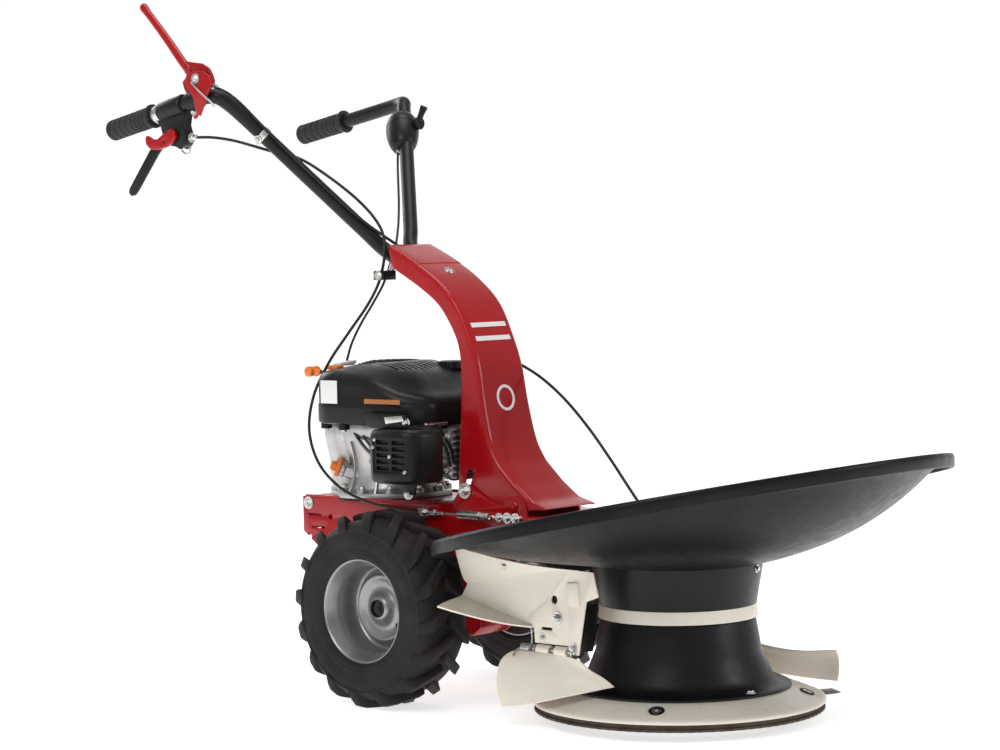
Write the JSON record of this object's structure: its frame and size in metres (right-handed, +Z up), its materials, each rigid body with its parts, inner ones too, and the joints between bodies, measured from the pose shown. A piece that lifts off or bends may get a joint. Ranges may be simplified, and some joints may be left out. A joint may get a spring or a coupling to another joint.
{
  "type": "brush mower",
  "caption": "Walk-behind petrol brush mower: driven wheels, vertical-shaft engine, tall handlebar column, and a bladed drum under a tilted guard dish.",
  "frame": {"origin": "on the ground under the drum axis", "axes": "+X to the machine's left, +Y to its rear, where the operator stands, +Z up"},
  "size_m": [0.854, 1.544, 1.219],
  "materials": {
    "red_paint": "gloss",
    "cream_paint": "satin",
    "black_plastic": "satin",
    "black_paint": "satin",
    "tyre_rubber": "matte",
    "grip_rubber": "matte",
    "belt_rubber": "matte",
    "cable_sheath": "satin",
    "rim_paint": "satin",
    "zinc_steel": "satin",
    "blade_steel": "satin",
    "bronze": "satin",
    "aluminium_casting": "satin",
    "orange_plastic": "satin"
  },
  "bodies": {
    "frame": {"chassis": "red_paint", "column_clamp_bolt": "zinc_steel", "gearbox_housing": "red_paint", "gearbox_cover": "red_paint", "traction_belt": "belt_rubber", "mower_belt": "belt_rubber", "guard_dish": "black_plastic", "head_bearing_housing": "zinc_steel", "upper_cone": "black_paint", "drum_band": "cream_paint", "guard_right": "cream_paint", "guard_left": "cream_paint", "crankcase": "aluminium_casting", "cylinder_head": "aluminium_casting", "spark_plug_cap": "black_plastic", "blower_shroud": "black_plastic", "air_filter_cover": "black_plastic", "muffler_guard": "black_plastic", "drive_cable": "cable_sheath", "throttle_cable": "cable_sheath", "mower_cable": "cable_sheath", "tension_spring": "zinc_steel"},
    "wheels": {"tyre_right": "tyre_rubber", "tyre_left": "tyre_rubber", "wheel_rim_right": "rim_paint", "wheel_rim_left": "rim_paint", "axle_shaft": "zinc_steel", "worm_wheel": "bronze"},
    "worm": {"worm_shaft": "zinc_steel", "transmission_pulley": "zinc_steel"},
    "crank": {"crankshaft": "zinc_steel", "crank_pulley": "zinc_steel"},
    "drum": {"drum_shaft": "zinc_steel", "drum_pulley": "zinc_steel", "drum_cone": "black_paint", "cutting_disc": "cream_paint", "knife_disc": "blade_steel"},
    "knife_a": {"knife_1": "blade_steel"},
    "knife_b": {"knife_2": "blade_steel"},
    "knife_c": {"knife_3": "blade_steel"},
    "saucer": {"skid_saucer": "blade_steel"},
    "idler": {"mower_idler_arm": "zinc_steel"},
    "idler_roll": {"mower_idler_pulley": "zinc_steel"},
    "steering": {"column": "red_paint", "handlebar": "black_paint", "grip_right": "grip_rubber", "grip_left": "grip_rubber", "clutch_lever_bracket": "red_paint", "drive_lever_housing": "black_plastic", "throttle_housing": "black_plastic", "cable_clamp": "black_plastic"},
    "clutch": {"clutch_lever": "red_paint"},
    "drive": {"drive_lever": "black_plastic"},
    "latch": {"lever_latch": "red_paint"},
    "throttle": {"throttle_lever": "black_plastic"},
    "fuel": {"fuel_cap": "black_plastic"},
    "oil": {"oil_cap": "orange_plastic"},
    "recoil": {"recoil_handle": "orange_plastic"},
    "deflector_r": {"swath_deflector_right": "cream_paint"},
    "deflector_l": {"swath_deflector_left": "cream_paint"}
  },
  "joints": [
    {"name": "wheel_spin", "type": "hinge", "parent": "frame", "child": "wheels", "pos_m": [0, 0.477, 0.165], "axis": [1, 0, 0], "continuous": true},
    {"name": "worm_spin", "type": "hinge", "parent": "frame", "child": "worm", "pos_m": [0, 0.415, 0.2], "axis": [0, 0, 1], "continuous": true},
    {"name": "drum_spin", "type": "hinge", "parent": "frame", "child": "drum", "pos_m": [0, 0, 0.1], "axis": [0, 0, 1], "continuous": true},
    {"name": "crank_spin", "type": "hinge", "parent": "frame", "child": "crank", "pos_m": [0, 0.64, 0.3], "axis": [0, 0, 1], "continuous": true},
    {"name": "saucer_spin", "type": "hinge", "parent": "drum", "child": "saucer", "pos_m": [0, 0, 0.005], "axis": [0, 0, 1], "continuous": true},
    {"name": "knife_1_swing", "type": "hinge", "parent": "drum", "child": "knife_a", "pos_m": [-0.17659, -0.09389, 0.025], "axis": [0, 0, 1], "range_deg": [-185, 5]},
    {"name": "knife_2_swing", "type": "hinge", "parent": "drum", "child": "knife_b", "pos_m": [0.16961, -0.10598, 0.025], "axis": [0, 0, 1], "range_deg": [-95, 95]},
    {"name": "knife_3_swing", "type": "hinge", "parent": "drum", "child": "knife_c", "pos_m": [0.00698, 0.19988, 0.025], "axis": [0, 0, 1], "range_deg": [-95, 95]},
    {"name": "idler_swing", "type": "hinge", "parent": "frame", "child": "idler", "pos_m": [-0.02, 0.14, 0.318], "axis": [0, 0, 1], "range_deg": [0, 2]},
    {"name": "idler_roll", "type": "hinge", "parent": "idler", "child": "idler_roll", "pos_m": [0.023, 0.09, 0.3], "axis": [0, 0, 1], "continuous": true},
    {"name": "column_tilt", "type": "hinge", "parent": "frame", "child": "steering", "pos_m": [0, 0.29, 0.335], "axis": [1, 0, 0], "range_deg": [0, 6], "deforming": ["drive_cable", "throttle_cable", "mower_cable"]},
    {"name": "clutch_press", "type": "hinge", "parent": "steering", "child": "clutch", "pos_m": [-0.231, 0.85, 1.074], "axis": [1, 0, 0], "range_deg": [-38, 0], "stiffness_Nm_per_rad": 3, "springref_deg": 28.65},
    {"name": "drive_press", "type": "hinge", "parent": "steering", "child": "drive", "pos_m": [-0.242, 0.914, 0.971], "axis": [1, 0, 0], "range_deg": [0, 26], "stiffness_Nm_per_rad": 2, "springref_deg": -22.92},
    {"name": "latch_press", "type": "hinge", "parent": "steering", "child": "latch", "pos_m": [-0.255, 0.922, 0.971], "axis": [1, 0, 0], "range_deg": [-15, 0], "stiffness_Nm_per_rad": 0.6, "springref_deg": 22.92},
    {"name": "throttle_turn", "type": "hinge", "parent": "steering", "child": "throttle", "pos_m": [0.2, 0.743, 1], "axis": [0, 1, 0], "range_deg": [-30, 40]},
    {"name": "fuel_cap_turn", "type": "hinge", "parent": "frame", "child": "fuel", "pos_m": [0.062, 0.545, 0.564], "axis": [0, 0, 1], "range_deg": [0, 90]},
    {"name": "oil_cap_turn", "type": "hinge", "parent": "frame", "child": "oil", "pos_m": [-0.0973, 0.6703, 0.3862], "axis": [-0.6511, 0.6634, 0.3686], "range_deg": [0, 90]},
    {"name": "recoil_pull", "type": "slide", "parent": "frame", "child": "recoil", "axis": [0, 1, 0], "range_m": [0, 0.45], "stiffness_N_per_m": 15, "springref_m": -0.3},
    {"name": "deflector_right_swing", "type": "hinge", "parent": "frame", "child": "deflector_r", "pos_m": [-0.19, 0.105, 0.124], "axis": [0, 1, 0], "range_deg": [0, 25], "stiffness_Nm_per_rad": 12, "springref_deg": -28.65},
    {"name": "deflector_left_swing", "type": "hinge", "parent": "frame", "child": "deflector_l", "pos_m": [0.19, 0.105, 0.124], "axis": [0, 1, 0], "range_deg": [-25, 0], "stiffness_Nm_per_rad": 12, "springref_deg": 28.65}
  ],
  "couplings": [
    {"joint": "crank_spin", "follows": "drum_spin", "ratio": 1.1765},
    {"joint": "worm_spin", "follows": "wheel_spin", "ratio": 24},
    {"joint": "idler_swing", "follows": "clutch_press", "ratio": -0.05263}
  ]
}
